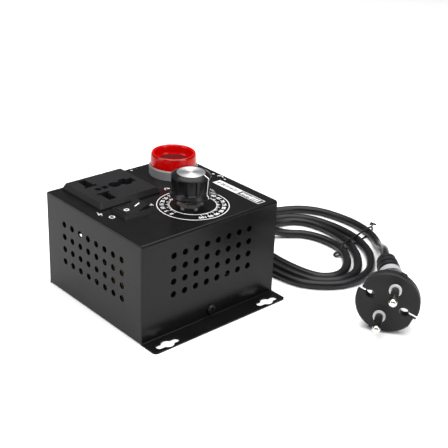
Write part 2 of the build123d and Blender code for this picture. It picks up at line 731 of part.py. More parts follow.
# Neck: ribbed strain relief behind the grip, bent towards the coil
neck_side = (PIN_ROW - NECK_DIR * PIN_ROW.dot(NECK_DIR)).normalized()
neck_turn = Plane(BODY_END, x_dir=neck_side, z_dir=neck_side.cross(NECK_DIR))
with BuildPart() as plug_neck:
    turned(neck_turn, [(0, -1.0), (7.7, -1.0), (7.7, 1.5), (6.9, 2.5), (6.9, 8.0), (6.0, 8.4),
                       (6.0, 9.4), (6.9, 9.8), (6.9, 12.4), (5.7, 12.8), (5.7, 13.8),
                       (6.6, 14.2), (6.6, 16.8), (5.4, 17.2), (5.4, 18.2), (6.0, 18.6),
                       (6.0, 20.6), (4.6, NECK_LONG), (0, NECK_LONG)])
save(plug_neck, "plug_neck")

# Pins: pale collar in the face, black sleeve, bare rounded tip
with BuildPart() as plug_collars:
    with BuildSketch(plug_front):
        with Locations((9.5, 0), (-9.5, 0)):
            Circle(3.6)
    extrude(amount=1.2)
    with BuildSketch(plug_front):
        with Locations((9.5, 0), (-9.5, 0)):
            Circle(2.05)
    extrude(amount=1.2, mode=Mode.SUBTRACT)
save(plug_collars, "plug_collars")
with BuildPart() as plug_pins:
    with BuildSketch(plug_front):
        with Locations((9.5, 0), (-9.5, 0)):
            Circle(2.0)
    extrude(amount=13.0)
    with BuildSketch(plug_front.offset(11.0)):
        with Locations((9.5, 0), (-9.5, 0)):
            Circle(2.4)
    extrude(amount=8.0)
    fillet(faces().filter_by(GeomType.PLANE).sort_by(Axis(FACE, PIN_DIR))[-2:].edges(), 1.8)
save(plug_pins, "plug_pins")
with BuildPart() as plug_sleeves:
    with BuildSketch(plug_front.offset(1.2)):
        with Locations((9.5, 0), (-9.5, 0)):
            Circle(2.35)
            Circle(2.05, mode=Mode.SUBTRACT)
    extrude(amount=9.8)
save(plug_sleeves, "plug_sleeves")
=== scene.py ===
import math

import bmesh
import bpy
from mathutils import Matrix, Vector


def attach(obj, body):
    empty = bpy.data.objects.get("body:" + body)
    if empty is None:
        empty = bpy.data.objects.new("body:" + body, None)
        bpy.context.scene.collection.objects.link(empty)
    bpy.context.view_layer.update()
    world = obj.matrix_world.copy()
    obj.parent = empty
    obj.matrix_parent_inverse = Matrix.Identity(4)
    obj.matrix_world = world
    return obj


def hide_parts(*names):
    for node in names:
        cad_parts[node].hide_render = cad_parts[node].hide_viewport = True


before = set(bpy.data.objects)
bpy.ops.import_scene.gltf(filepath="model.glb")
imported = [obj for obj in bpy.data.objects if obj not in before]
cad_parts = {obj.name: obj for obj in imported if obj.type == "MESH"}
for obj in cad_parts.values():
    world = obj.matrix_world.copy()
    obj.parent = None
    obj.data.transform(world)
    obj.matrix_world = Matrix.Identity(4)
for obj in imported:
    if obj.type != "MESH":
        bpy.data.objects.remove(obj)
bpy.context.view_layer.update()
scene = bpy.context.scene
MM = 0.001

# ------------------------------------------------------------------ camera, table and light
# The camera looks down over the front right corner of the box, from about half a metre away.
# A pale table runs out of view behind the object, under three broad soft lights.

camera_data = bpy.data.cameras.new("product_camera")
camera_data.lens = 77.09
camera_data.sensor_width = 36.0
camera_data.clip_start = 0.01
product_camera = bpy.data.objects.new("product_camera", camera_data)
scene.collection.objects.link(product_camera)
camera_right = Vector((0.66526, 0.74561, 0.03873)).normalized()
camera_back = Vector((0.66352, -0.61421, 0.42719)).normalized()
camera_up = camera_back.cross(camera_right).normalized()
camera_right = camera_up.cross(camera_back).normalized()
camera_turn = Matrix((camera_right, camera_up, camera_back)).transposed().to_4x4()
product_camera.matrix_world = Matrix.Translation((0.40338, -0.32304, 0.28796)) @ camera_turn
scene.camera = product_camera

table_mesh = bpy.data.meshes.new("table")
table_mesh.from_pydata([(-3, -3, 0), (3, -3, 0), (3, 3, 0), (-3, 3, 0)], [], [(0, 1, 2, 3)])
table = bpy.data.objects.new("table", table_mesh)
scene.collection.objects.link(table)
table_white = bpy.data.materials.new("table_white")
table_white.use_nodes = True
table_shader = table_white.node_tree.nodes["Principled BSDF"]
table_shader.inputs["Base Color"].default_value = (0.93, 0.93, 0.93, 1)
table_shader.inputs["Roughness"].default_value = 0.8
table_shader.inputs["Specular IOR Level"].default_value = 0.1
table_mesh.materials.append(table_white)

studio = bpy.data.worlds.new("studio")
studio.use_nodes = True
studio_nodes, studio_links = studio.node_tree.nodes, studio.node_tree.links
studio_nodes["Background"].inputs["Color"].default_value = (1, 1, 1, 1)
studio_nodes["Background"].inputs["Strength"].default_value = 0.16
backdrop = studio_nodes.new("ShaderNodeBackground")
backdrop.inputs["Color"].default_value = (1, 1, 1, 1)
backdrop.inputs["Strength"].default_value = 1.0
seen_directly = studio_nodes.new("ShaderNodeLightPath")
choose_sky = studio_nodes.new("ShaderNodeMixShader")
studio_links.new(seen_directly.outputs["Is Camera Ray"], choose_sky.inputs["Fac"])
studio_links.new(studio_nodes["Background"].outputs["Background"], choose_sky.inputs[1])
studio_links.new(backdrop.outputs["Background"], choose_sky.inputs[2])
studio_links.new(choose_sky.outputs["Shader"], studio_nodes["World Output"].inputs["Surface"])
scene.world = studio
scene.view_settings.view_transform = "Standard"


def softbox(name, place, aim, size, watts):
    """One square studio light, pointed at a spot on the object."""
    panel = bpy.data.lights.new(name, "AREA")
    panel.shape = "RECTANGLE"
    panel.size, panel.size_y = size
    panel.energy = watts
    lamp = bpy.data.objects.new(name, panel)
    scene.collection.objects.link(lamp)
    lamp.location = place
    lamp.rotation_euler = (Vector(aim) - Vector(place)).to_track_quat("-Z", "Y").to_euler()


softbox("light_above", (0.1, 0.0, 1.1), (0.02, 0.03, 0.0), (1.5, 1.5), 30.0)
softbox("light_right", (1.0, 0.25, 0.5), (0.02, 0.02, 0.03), (0.5, 0.7), 4.0)
softbox("light_front", (-0.35, -1.0, 0.5), (0, 0, 0.03), (0.6, 0.6), 4.0)

# ------------------------------------------------------------------ cover and base tray
# Two bent pieces of 1 mm steel sheet, powder coated black. The cover drops over the tray, and
# three screws through its side walls hold the two together. The top is smoother than the walls.


def worked_surface(name, colour, rough, grain=900.0, shift=0.25, bump=0.02, metal=0.0,
                   rough_shift=0.08, coat=0.0, shine=0.3):
    """A made surface: its colour, polish and height all waver a little at the grain's scale."""
    material = bpy.data.materials.new(name)
    material.use_nodes = True
    nodes, links = material.node_tree.nodes, material.node_tree.links
    shader = nodes["Principled BSDF"]
    shader.inputs["Metallic"].default_value = metal
    shader.inputs["Coat Weight"].default_value = coat
    shader.inputs["Coat Roughness"].default_value = 0.12
    shader.inputs["Specular IOR Level"].default_value = shine
    place = nodes.new("ShaderNodeTexCoord")
    fine = nodes.new("ShaderNodeTexNoise")
    fine.inputs["Scale"].default_value = grain
    fine.inputs["Detail"].default_value = 4.0
    broad = nodes.new("ShaderNodeTexNoise")
    broad.inputs["Scale"].default_value = grain * 0.04
    broad.inputs["Detail"].default_value = 3.0
    links.new(place.outputs["Object"], fine.inputs["Vector"])
    links.new(place.outputs["Object"], broad.inputs["Vector"])
    tone = nodes.new("ShaderNodeValToRGB")
    tone.color_ramp.elements[0].position = 0.3
    tone.color_ramp.elements[1].position = 0.7
    tone.color_ramp.elements[0].color = [c * (1 - shift) for c in colour] + [1]
    tone.color_ramp.elements[1].color = [min(1.0, c * (1 + shift)) for c in colour] + [1]
    links.new(broad.outputs["Fac"], tone.inputs["Fac"])
    links.new(tone.outputs["Color"], shader.inputs["Base Color"])
    polish = nodes.new("ShaderNodeMapRange")
    polish.inputs["To Min"].default_value = max(0.02, rough - rough_shift)
    polish.inputs["To Max"].default_value = min(1.0, rough + rough_shift)
    links.new(fine.outputs["Fac"], polish.inputs["Value"])
    links.new(polish.outputs["Result"], shader.inputs["Roughness"])
    relief = nodes.new("ShaderNodeBump")
    relief.inputs["Strength"].default_value = 0.6
    relief.inputs["Distance"].default_value = bump * MM
    links.new(fine.outputs["Fac"], relief.inputs["Height"])
    links.new(relief.outputs["Normal"], shader.inputs["Normal"])
    return material


def coat_nodes(material, *names):
    """Give CAD nodes their finished material."""
    for name in names:
        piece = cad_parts[name]
        if not piece.material_slots:
            piece.data.materials.append(material)
        for holder in piece.material_slots:
            holder.material = material


powder_coat = worked_surface("powder_coat", (0.0055, 0.0055, 0.006), 0.24, 1400, 0.2, 0.006,
                             rough_shift=0.05, shine=0.16)
tray_coat = worked_surface("tray_coat", (0.0055, 0.0055, 0.006), 0.26, 1400, 0.2, 0.006,
                           rough_shift=0.05, shine=0.16)
coat_nodes(powder_coat, "cover")
coat_nodes(tray_coat, "base_tray")

# ------------------------------------------------------------------ cover screws
# Pan-head steel screws with a black finish, threaded into the tray's upturned lips.

black_steel = worked_surface("black_steel", (0.02, 0.02, 0.021), 0.3, 1200, 0.3, 0.01, metal=0.6)
coat_nodes(black_steel, "cover_screws")

# ------------------------------------------------------------------ outlet
# Snap-in universal outlet: a bevelled black face over a moulded block with brass leaves in its
# chambers. Two sprung wedges under the panel hold it in its cut-out.

outlet_plastic = worked_surface("outlet_plastic", (0.011, 0.011, 0.012), 0.42, 1100, 0.2, 0.02,
                                shine=0.22)
outlet_inner = worked_surface("outlet_inner", (0.010, 0.010, 0.011), 0.6, 800, 0.2, 0.02)
spring_brass = worked_surface("spring_brass", (0.62, 0.42, 0.17), 0.3, 600, 0.2, 0.01, metal=1.0)
coat_nodes(outlet_plastic, "outlet_face")
coat_nodes(outlet_inner, "outlet_body", "outlet_latches")
coat_nodes(spring_brass, "outlet_contacts")

# ------------------------------------------------------------------ rocker switch
# Small panel rocker in glossy black plastic. The bar and the ring on its two ends are pad
# printed in white, and brass blades take the wires underneath.

switch_plastic = worked_surface("switch_plastic", (0.008, 0.008, 0.009), 0.3, 900, 0.2, 0.012,
                                shine=0.25)
rocker_plastic = worked_surface("rocker_plastic", (0.009, 0.009, 0.010), 0.26, 900, 0.2, 0.012,
                                shine=0.3)
ink_white = worked_surface("ink_white", (0.82, 0.82, 0.82), 0.5, 2500, 0.12, 0.008)
coat_nodes(switch_plastic, "switch_housing")
coat_nodes(rocker_plastic, "switch_rocker")
coat_nodes(ink_white, "rocker_marks")
coat_nodes(spring_brass, "switch_terminals")

# ------------------------------------------------------------------ pilot lamp
# A 30 mm panel lamp. A satin grey bezel holds a moulded red cap with a raised rim and a deep
# well, and a nut and a rubber gasket clamp its barrel under the panel.

LAMP_AT = Vector((-24.8, 28.4, 61.0)) * MM
LENS_OUTLINE = [(12.9, 4.2), (14.36, 4.2), (14.34, 5.6), (14.2, 8.6), (14.0, 11.4), (13.8, 12.7),
                (13.45, 13.3), (12.95, 13.5), (12.4, 13.35), (12.0, 12.9), (11.8, 12.2),
                (11.4, 9.5), (11.0, 7.6), (10.2, 6.9), (8.0, 6.5), (5.0, 6.3), (2.5, 6.25),
                (0, 6.2)]
LENS_UNDER = [(0, 4.9), (6.0, 4.95), (10.8, 5.4), (12.3, 5.0)]


def lathed(name, outline, centre, materials, steps=96, choose=None):
    """Turn an outline of (radius, height) pairs in millimetres about the vertical."""
    shell = bmesh.new()
    rings = []
    for radius, height in outline:
        if radius == 0:
            rings.append([shell.verts.new(centre + Vector((0, 0, height * MM)))])
            continue
        ring = []
        for step in range(steps):
            way = 2 * math.pi * step / steps
            ring.append(shell.verts.new(centre + Vector((radius * math.cos(way),
                                                         radius * math.sin(way), height)) * MM))
        rings.append(ring)
    for at, (low, high) in enumerate(zip(rings, rings[1:] + rings[:1])):
        if len(low) == 1 and len(high) == 1:
            continue
        for step in range(steps):
            after = (step + 1) % steps
            if len(low) == 1:
                face = shell.faces.new((low[0], high[after], high[step]))
            elif len(high) == 1:
                face = shell.faces.new((low[step], low[after], high[0]))
            else:
                face = shell.faces.new((low[step], low[after], high[after], high[step]))
            face.smooth = True
            if choose:
                face.material_index = choose(at)
    bmesh.ops.recalc_face_normals(shell, faces=shell.faces)
    mesh = bpy.data.meshes.new(name)
    shell.to_mesh(mesh)
    shell.free()
    for material in materials:
        mesh.materials.append(material)
    piece = bpy.data.objects.new(name, mesh)
    scene.collection.objects.link(piece)
    return piece


lens_red = worked_surface("lens_red", (0.50, 0.001, 0.001), 0.16, 400, 0.06, 0.004,
                          rough_shift=0.03, shine=0.2)
# Painted shade: the rim's outer bevel is a dark red that stands in for the dark outline light draws
# round the rim.
lens_rim_painted_shade = worked_surface("lens_rim_painted_shade", (0.10, 0.002, 0.002), 0.15, 400, 0.1, 0.004,
                           rough_shift=0.03, coat=0.3, shine=0.5)
# Painted shade: the floor of the well is a dark red that stands in for the shade deep in the cup.
lens_well_painted_shade = worked_surface("lens_well_painted_shade", (0.09, 0.003, 0.002), 0.55, 300, 0.25, 0.01,
                           rough_shift=0.05, shine=0.08)
rim_from, rim_to, well_from = (LENS_OUTLINE.index(spot) for spot in ((13.8, 12.7), (13.45, 13.3),
                                                                     (11.0, 7.6)))


def lens_painted_shade_band(at):
    """Which of the lens's three reds a band of its outline has; two are painted shade."""
    if rim_from <= at < rim_to:
        return 1
    return 2 if well_from <= at < len(LENS_OUTLINE) else 0


lamp_lens = lathed("lamp_lens_cap", LENS_OUTLINE + LENS_UNDER, LAMP_AT,
                   (lens_red, lens_rim_painted_shade, lens_well_painted_shade), 128, choose=lens_painted_shade_band)
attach(lamp_lens, "housing")
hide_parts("lamp_lens")
lamp_grey = worked_surface("lamp_grey", (0.24, 0.24, 0.245), 0.42, 1500, 0.12, 0.01, metal=0.2)
lamp_block = worked_surface("lamp_block", (0.5, 0.06, 0.03), 0.5, 400, 0.2, 0.01)
gasket_rubber = worked_surface("gasket_rubber", (0.02, 0.02, 0.02), 0.75, 900, 0.3, 0.03)
coat_nodes(lamp_grey, "lamp_body", "lamp_nut", "lamp_cap")
coat_nodes(lamp_block, "lamp_insert")
coat_nodes(gasket_rubber, "lamp_gasket")
coat_nodes(spring_brass, "lamp_terminals")

# ------------------------------------------------------------------ potentiometer
# Rotary potentiometer under the panel. A toothed washer and a hex nut in bright nickel hold its
# threaded bushing, and a steel shaft carries the knob.

bright_nickel = worked_surface("bright_nickel", (0.50, 0.49, 0.47), 0.16, 900, 0.2, 0.004,
                               metal=1.0, rough_shift=0.05)
plated_steel = worked_surface("plated_steel", (0.45, 0.45, 0.46), 0.32, 700, 0.2, 0.01, metal=1.0)
turned_steel = worked_surface("turned_steel", (0.5, 0.5, 0.5), 0.24, 700, 0.2, 0.01, metal=1.0)
phenolic = worked_surface("phenolic", (0.16, 0.07, 0.03), 0.55, 500, 0.3, 0.02)
track_carbon = worked_surface("track_carbon", (0.02, 0.02, 0.02), 0.5, 500, 0.3, 0.02)
coat_nodes(bright_nickel, "pot_washer", "pot_nut")
coat_nodes(plated_steel, "pot_case")
coat_nodes(turned_steel, "pot_shaft")
coat_nodes(phenolic, "pot_back")
coat_nodes(track_carbon, "pot_track")
coat_nodes(spring_brass, "pot_terminals", "pot_wiper")

# ------------------------------------------------------------------ knob
# Moulded black knob. Ten flat ridges run down a grip that narrows towards a flared skirt, below
# a wide polished rim. A grub screw holds it to the shaft.

KNOB_AT = Vector((19.5, 5.1, 61.0)) * MM
POINTER_WAY = math.radians(20.0)
RIDGES = 10
KNOB_OUTLINE = [(3.1, 6.0), (11.9, 6.0), (12.0, 6.3), (12.0, 6.8), (11.6, 7.5), (11.0, 8.3),
                (10.75, 8.9), (10.78, 9.5), (11.1, 13.5), (11.42, 17.5), (11.5, 17.95),
                (11.6, 18.2), (11.6, 18.5), (11.45, 18.8), (8.7, 20.35), (8.4, 20.4),
                (8.3, 20.35), (8.25, 19.9), (3.1, 19.9)]
GROOVED = {(10.78, 9.5): 1.0, (11.1, 13.5): 1.1, (11.42, 17.5): 1.2}
RIDGE_SHAPE = [(0.0, 0.0), (0.13, 0.0), (0.16, 0.1), (0.185, 0.9), (0.21, 1.0), (0.36, 1.0),
               (0.5, 1.0), (0.64, 1.0), (0.79, 1.0), (0.815, 0.9), (0.84, 0.1), (0.87, 0.0)]


def fluted_knob(name):
    """Skin the knob's outline round its axis, sinking the grooves between its ridges."""
    columns = [((ridge + across) / RIDGES, depth) for ridge in range(RIDGES)
               for across, depth in RIDGE_SHAPE]
    shell = bmesh.new()
    rows = []
    for radius, height in KNOB_OUTLINE:
        row = []
        for share, depth in columns:
            way = POINTER_WAY + 2 * math.pi * share
            reach = radius - depth * GROOVED.get((radius, height), 0.0)
            row.append(shell.verts.new(KNOB_AT + Vector((reach * math.cos(way),
                                                         reach * math.sin(way), height)) * MM))
        rows.append(row)
    for low, high in zip(rows, rows[1:] + rows[:1]):
        for step in range(len(columns)):
            after = (step + 1) % len(columns)
            shell.faces.new((low[step], low[after], high[after], high[step]))
    bmesh.ops.recalc_face_normals(shell, faces=shell.faces)
    mesh = bpy.data.meshes.new(name)
    shell.to_mesh(mesh)
    shell.free()
    piece = bpy.data.objects.new(name, mesh)
    scene.collection.objects.link(piece)
    return piece


def soften(piece, width, angle=30.0, segments=2):
    """Round a piece's sharp edges a little, and shade its smooth runs as smooth."""
    bevel = piece.modifiers.new("softened_edges", "BEVEL")
    bevel.width = width * MM
    bevel.segments = segments
    bevel.limit_method = "ANGLE"
    bevel.angle_limit = math.radians(angle)
    bevel.harden_normals = False
    settle(piece)
    piece.data.shade_smooth()
    piece.data.set_sharp_from_angle(angle=math.radians(angle))


def settle(piece):
    """Turn a piece with modifiers into a plain mesh."""
    bpy.context.view_layer.update()
    seen = piece.evaluated_get(bpy.context.evaluated_depsgraph_get())
    mesh = bpy.data.meshes.new_from_object(seen)
    piece.modifiers.clear()
    piece.data = mesh


knob_grip = fluted_knob("knob_grip")
knob_plastic = worked_surface("knob_plastic", (0.006, 0.006, 0.007), 0.3, 1200, 0.2, 0.008,
                              shine=0.22)
knob_grip.data.materials.append(knob_plastic)
soften(knob_grip, 0.12, angle=35.0)
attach(knob_grip, "knob")
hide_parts("knob")
coat_nodes(black_steel, "knob_grub")

# ------------------------------------------------------------------ knob inlay
# A disc of spun aluminium pressed into the top of the knob. Its fine turning marks are real
# rings, and they spread the light into two opposite fans.

INLAY_RINGS = 54
spun_outline = [(8.2, 19.95), (8.2, 20.3)]
for ring_no in range(INLAY_RINGS):
    ring_reach = 8.0 - ring_no * 0.145
    spun_outline.append((round(ring_reach, 4),
                         20.36 - 0.05 * (1 - (ring_reach / 8.0) ** 2) + 0.04 * (ring_no % 2)))
spun_outline += [(0, 20.31), (0, 19.95)]
spun_inlay = lathed("knob_inlay_spun", spun_outline, KNOB_AT, (), 96)
spun_inlay.data.set_sharp_from_angle(angle=math.radians(20))
spun_aluminium = worked_surface("spun_aluminium", (0.80, 0.80, 0.81), 0.34, 1500, 0.1, 0.004,
                                metal=1.0, rough_shift=0.06)
spun_inlay.data.materials.append(spun_aluminium)
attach(spun_inlay, "knob")
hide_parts("knob_inlay")

# ------------------------------------------------------------------ knob pointer
# A white line of hot-stamped foil, from the inlay across the rim and down one ridge to the
# skirt.

POINTER_LINE = [(8.45, 20.44), (8.72, 20.4), (11.5, 18.84), (11.66, 18.5), (11.66, 18.2),
                (11.56, 17.9), (11.48, 17.5), (11.16, 13.5), (10.84, 9.5), (10.81, 8.9),
                (11.06, 8.35), (11.65, 7.55), (12.06, 6.85), (12.06, 6.3)]
POINTER_ACROSS = 0.6
pointer_shell = bmesh.new()
along_pointer = Vector((math.cos(POINTER_WAY), math.sin(POINTER_WAY), 0))
across_pointer = Vector((-math.sin(POINTER_WAY), math.cos(POINTER_WAY), 0))
pointer_rows = []
for reach, height in POINTER_LINE:
    row = []
    for side, sink in ((-1, 0), (1, 0), (1, 0.1), (-1, 0.1)):
        spot = (along_pointer * (reach - sink) + across_pointer * side * POINTER_ACROSS / 2
                + Vector((0, 0, height - sink)))
        row.append(pointer_shell.verts.new(KNOB_AT + spot * MM))
    pointer_rows.append(row)
for high, low in zip(pointer_rows, pointer_rows[1:]):
    for step in range(4):
        after = (step + 1) % 4
        pointer_shell.faces.new((high[step], high[after], low[after], low[step]))
pointer_shell.faces.new(pointer_rows[0])
pointer_shell.faces.new(pointer_rows[-1][::-1])
bmesh.ops.recalc_face_normals(pointer_shell, faces=pointer_shell.faces)
pointer_mesh = bpy.data.meshes.new("knob_pointer_line")
pointer_shell.to_mesh(pointer_mesh)
pointer_shell.free()
pointer_line = bpy.data.objects.new("knob_pointer_line", pointer_mesh)
scene.collection.objects.link(pointer_line)
pointer_mesh.materials.append(ink_white)
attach(pointer_line, "knob")
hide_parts("knob_pointer")

# ------------------------------------------------------------------ dial
# Screen print on the top panel: an outer and an inner ring with the numbers 0 to 100 between
# them. Long ticks stand at the numbers, five units apart, and short ticks two units apart.

DIAL_AT = Vector((20.6, 6.3, 61.0)) * MM
FIRST_TICK = -22.0
LONG_STEP = 15.0
SHORT_STEP = 6.0
SCALE_TURN = 300.0
INK_HIGH = 0.07
RING_WIDE = 0.45
OUTER_RING = 20.7
INNER_RING = 13.6
FIGURE_REACH = 17.9
FIGURE_HIGH = 3.3
LONG_TICKS = int(SCALE_TURN / LONG_STEP) + 1
SHORT_TICKS = int(SCALE_TURN / SHORT_STEP) + 1


def marks_tree(name):
    """Node tree that sets flat bars round a centre, each pointing outwards."""
    tree = bpy.data.node_groups.new(name, "GeometryNodeTree")
    for label, kind in (("Count", "NodeSocketInt"), ("Reach", "NodeSocketFloat"),
                        ("First Angle", "NodeSocketFloat"), ("Step Angle", "NodeSocketFloat"),
                        ("Bar Size", "NodeSocketVector"), ("Centre", "NodeSocketVector"),
                        ("Finish", "NodeSocketMaterial")):
        tree.interface.new_socket(label, in_out="INPUT", socket_type=kind)
    tree.interface.new_socket("Geometry", in_out="OUTPUT", socket_type="NodeSocketGeometry")
    nodes, links = tree.nodes, tree.links
    given = nodes.new("NodeGroupInput")
    made = nodes.new("NodeGroupOutput")
    spots = nodes.new("GeometryNodeMeshLine")
    links.new(given.outputs["Count"], spots.inputs["Count"])
    number = nodes.new("GeometryNodeInputIndex")
    turn = nodes.new("ShaderNodeMath")
    turn.operation = "MULTIPLY_ADD"
    links.new(number.outputs["Index"], turn.inputs[0])
    links.new(given.outputs["Step Angle"], turn.inputs[1])
    links.new(given.outputs["First Angle"], turn.inputs[2])
    outwards = nodes.new("ShaderNodeCombineXYZ")
    links.new(given.outputs["Reach"], outwards.inputs["X"])
    swing = nodes.new("ShaderNodeVectorRotate")
    swing.rotation_type = "Z_AXIS"
    links.new(outwards.outputs["Vector"], swing.inputs["Vector"])
    links.new(turn.outputs["Value"], swing.inputs["Angle"])
    shift = nodes.new("ShaderNodeVectorMath")
    links.new(swing.outputs["Vector"], shift.inputs[0])
    links.new(given.outputs["Centre"], shift.inputs[1])
    put = nodes.new("GeometryNodeSetPosition")
    links.new(spots.outputs["Mesh"], put.inputs["Geometry"])
    links.new(shift.outputs["Vector"], put.inputs["Position"])
    bar = nodes.new("GeometryNodeMeshCube")
    links.new(given.outputs["Bar Size"], bar.inputs["Size"])
    facing = nodes.new("ShaderNodeCombineXYZ")
    links.new(turn.outputs["Value"], facing.inputs["Z"])
    copies = nodes.new("GeometryNodeInstanceOnPoints")
    links.new(put.outputs["Geometry"], copies.inputs["Points"])
    links.new(bar.outputs["Mesh"], copies.inputs["Instance"])
    links.new(facing.outputs["Vector"], copies.inputs["Rotation"])
    real = nodes.new("GeometryNodeRealizeInstances")
    links.new(copies.outputs["Instances"], real.inputs["Geometry"])
    finish = nodes.new("GeometryNodeSetMaterial")
    links.new(real.outputs["Geometry"], finish.inputs["Geometry"])
    links.new(given.outputs["Finish"], finish.inputs["Material"])
    links.new(finish.outputs["Geometry"], made.inputs["Geometry"])
    return tree


def grown(name, tree, **sizes):
    """Run a node tree with the sizes given, and keep what it makes as a plain mesh."""
    piece = bpy.data.objects.new(name, bpy.data.meshes.new(name))
    scene.collection.objects.link(piece)
    maker = piece.modifiers.new("maker", "NODES")
    maker.node_group = tree
    for socket in tree.interface.items_tree:
        if socket.in_out == "INPUT" and socket.name in sizes:
            maker[socket.identifier] = sizes[socket.name]
    settle(piece)
    return piece


def joined(name, pieces):
    """Make one mesh of several pieces that share a finish."""
    whole = bmesh.new()
    for piece in pieces:
        whole.from_mesh(piece.data)
    mesh = bpy.data.meshes.new(name)
    whole.to_mesh(mesh)
    whole.free()
    for material in pieces[0].data.materials:
        mesh.materials.append(material)
    for piece in pieces:
        bpy.data.objects.remove(piece)
    made = bpy.data.objects.new(name, mesh)
    scene.collection.objects.link(made)
    return made


def ink_strokes(name, strokes, width, base=0.0):
    """Printed straight strokes on the panel, each (x, y) to (x, y) in millimetres."""
    shell = bmesh.new()
    for (x0, y0), (x1, y1) in strokes:
        start, end = Vector((x0, y0, 0)), Vector((x1, y1, 0))
        run = (end - start).normalized()
        side = Vector((-run.y, run.x, 0)) * width / 2
        corners = [start - side, end - side, end + side, start + side]
        foot = [shell.verts.new((c + Vector((0, 0, 61.0 + base))) * MM) for c in corners]
        top = [shell.verts.new((c + Vector((0, 0, 61.0 + base + INK_HIGH))) * MM)
               for c in corners]
        shell.faces.new(foot[::-1])
        shell.faces.new(top)
        for step in range(4):
            after = (step + 1) % 4
            shell.faces.new((foot[step], foot[after], top[after], top[step]))
    mesh = bpy.data.meshes.new(name)
    shell.to_mesh(mesh)
    shell.free()
    mesh.materials.append(ink_white)
    piece = bpy.data.objects.new(name, mesh)
    scene.collection.objects.link(piece)
    return piece


def ink_number(text, size, middle, turn):
    """One printed number, lying on the panel with its foot towards the dial's centre."""
    letters = bpy.data.curves.new("ink_" + text, "FONT")
    letters.body = text
    letters.size = size * MM
    letters.align_x = "CENTER"
    letters.align_y = "CENTER"
    letters.extrude = INK_HIGH * MM / 2
    letters.offset = 0.05 * MM
    letters.resolution_u = 3
    holder = bpy.data.objects.new("ink_" + text, letters)
    scene.collection.objects.link(holder)
    bpy.context.view_layer.update()
    mesh = bpy.data.meshes.new_from_object(
        holder.evaluated_get(bpy.context.evaluated_depsgraph_get()))
    bpy.data.objects.remove(holder)
    mesh.transform(Matrix.Translation(middle) @ Matrix.Rotation(turn, 4, "Z"))
    mesh.materials.clear()
    mesh.materials.append(ink_white)
    piece = bpy.data.objects.new("ink_" + text, mesh)
    scene.collection.objects.link(piece)
    return piece


ring_marks = marks_tree("dial_marks")
dial_ticks = grown("dial_small_ticks", ring_marks, **{
    "Count": SHORT_TICKS, "Reach": 14.45 * MM, "First Angle": math.radians(FIRST_TICK),
    "Step Angle": math.radians(SHORT_STEP), "Bar Size": (0.9 * MM, 0.26 * MM, INK_HIGH * MM),
    "Centre": DIAL_AT + Vector((0, 0, INK_HIGH / 2)) * MM, "Finish": ink_white})
dial_long_ticks = grown("dial_long_ticks", ring_marks, **{
    "Count": LONG_TICKS, "Reach": 14.85 * MM, "First Angle": math.radians(FIRST_TICK),
    "Step Angle": math.radians(LONG_STEP), "Bar Size": (1.7 * MM, 0.42 * MM, INK_HIGH * MM),
    "Centre": DIAL_AT + Vector((0, 0, INK_HIGH / 2)) * MM, "Finish": ink_white})
dial_rings = [lathed(name, [(inner, 0), (inner + RING_WIDE, 0), (inner + RING_WIDE, INK_HIGH),
                            (inner, INK_HIGH)], DIAL_AT, (ink_white,), 128)
              for name, inner in (("dial_outer_ring", OUTER_RING), ("dial_inner_ring", INNER_RING))]
dial_figures = []
for figure in range(LONG_TICKS):
    way = math.radians(FIRST_TICK + LONG_STEP * figure)
    middle = DIAL_AT + Vector((FIGURE_REACH * math.cos(way), FIGURE_REACH * math.sin(way),
                               INK_HIGH / 2)) * MM
    dial_figures.append(ink_number(str(100 - 5 * figure), FIGURE_HIGH, middle, way - math.pi / 2))
dial_numbers = joined("dial_numbers", [dial_ticks, dial_long_ticks] + dial_rings + dial_figures)
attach(dial_numbers, "housing")
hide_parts("dial_print")

# ------------------------------------------------------------------ panel marks
# Small printed signs: an open and a closed contact by the rocker's two ends, a curved arrow
# with a plus and a minus behind the knob, a pointer at the dial, and short index bars.


def arc_strokes(centre, radius, start, end, parts):
    """A curved stroke as short straight ones."""
    spots = []
    for part in range(parts + 1):
        way = math.radians(start + (end - start) * part / parts)
        spots.append((centre[0] + radius * math.cos(way), centre[1] + radius * math.sin(way)))
    return list(zip(spots, spots[1:]))


sign_strokes = arc_strokes((6.5, -40.7), 1.5, 0, 360, 14)            # open ring: off
sign_strokes += [((6.5, -16.0), (6.5, -12.6)), ((5.1, -12.6), (7.9, -12.6))]   # bar: on
sign_strokes += [((-3.2, -44.0), (-1.8, -44.0)), ((0.0, -45.3), (0.0, -42.7)),
                 ((-0.8, -45.2), (-0.8, -42.8)), ((1.0, -44.0), (2.0, -44.0))]
sign_strokes += arc_strokes((-1.5, 46.2), 2.2, 30, 150, 6)
sign_strokes += [((-3.4, 47.3), (-2.2, 47.4)), ((-3.4, 47.3), (-3.5, 46.1)),
                 ((2.4, 46.4), (4.2, 46.4)), ((-8.4, 46.4), (-6.6, 46.4)),
                 ((-7.5, 45.5), (-7.5, 47.3))]
sign_strokes += arc_strokes((-6.0, 8.5), 1.5, 60, 300, 8)
sign_strokes += [((-6.0, 8.5), (-6.0, 10.4))]
panel_signs = ink_strokes("panel_signs", sign_strokes, 0.45)
bar_strokes = [((-32.6, -40.3), (-30.4, -40.3)), ((-42.0, 8.2), (-42.0, 9.8))]
panel_bars = ink_strokes("panel_bars", bar_strokes, 0.5)


def dial_spot(reach, degrees):
    """A point on the panel, by its distance and direction from the dial's centre."""
    way = math.radians(degrees)
    return 20.6 + reach * math.cos(way), 6.3 + reach * math.sin(way)


pointer_strokes = []
for lean in range(5):
    pointer_strokes.append((dial_spot(25.4, 116 - lean * 0.8), dial_spot(20.9, 96 + lean * 0.6)))
dial_pointer = ink_strokes("dial_pointer", pointer_strokes, 0.5)
panel_print = joined("panel_print", [panel_signs, panel_bars, dial_pointer])
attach(panel_print, "housing")

# ------------------------------------------------------------------ label
# Thin printed film along the rear edge: its left half is white with a row of dark bars, and its
# right half is black inside a white line, with a row of pale bars.

LABEL_X = (2.5, 42.7)
LABEL_Y = (37.0, 43.2)
LABEL_SPLIT = 23.5


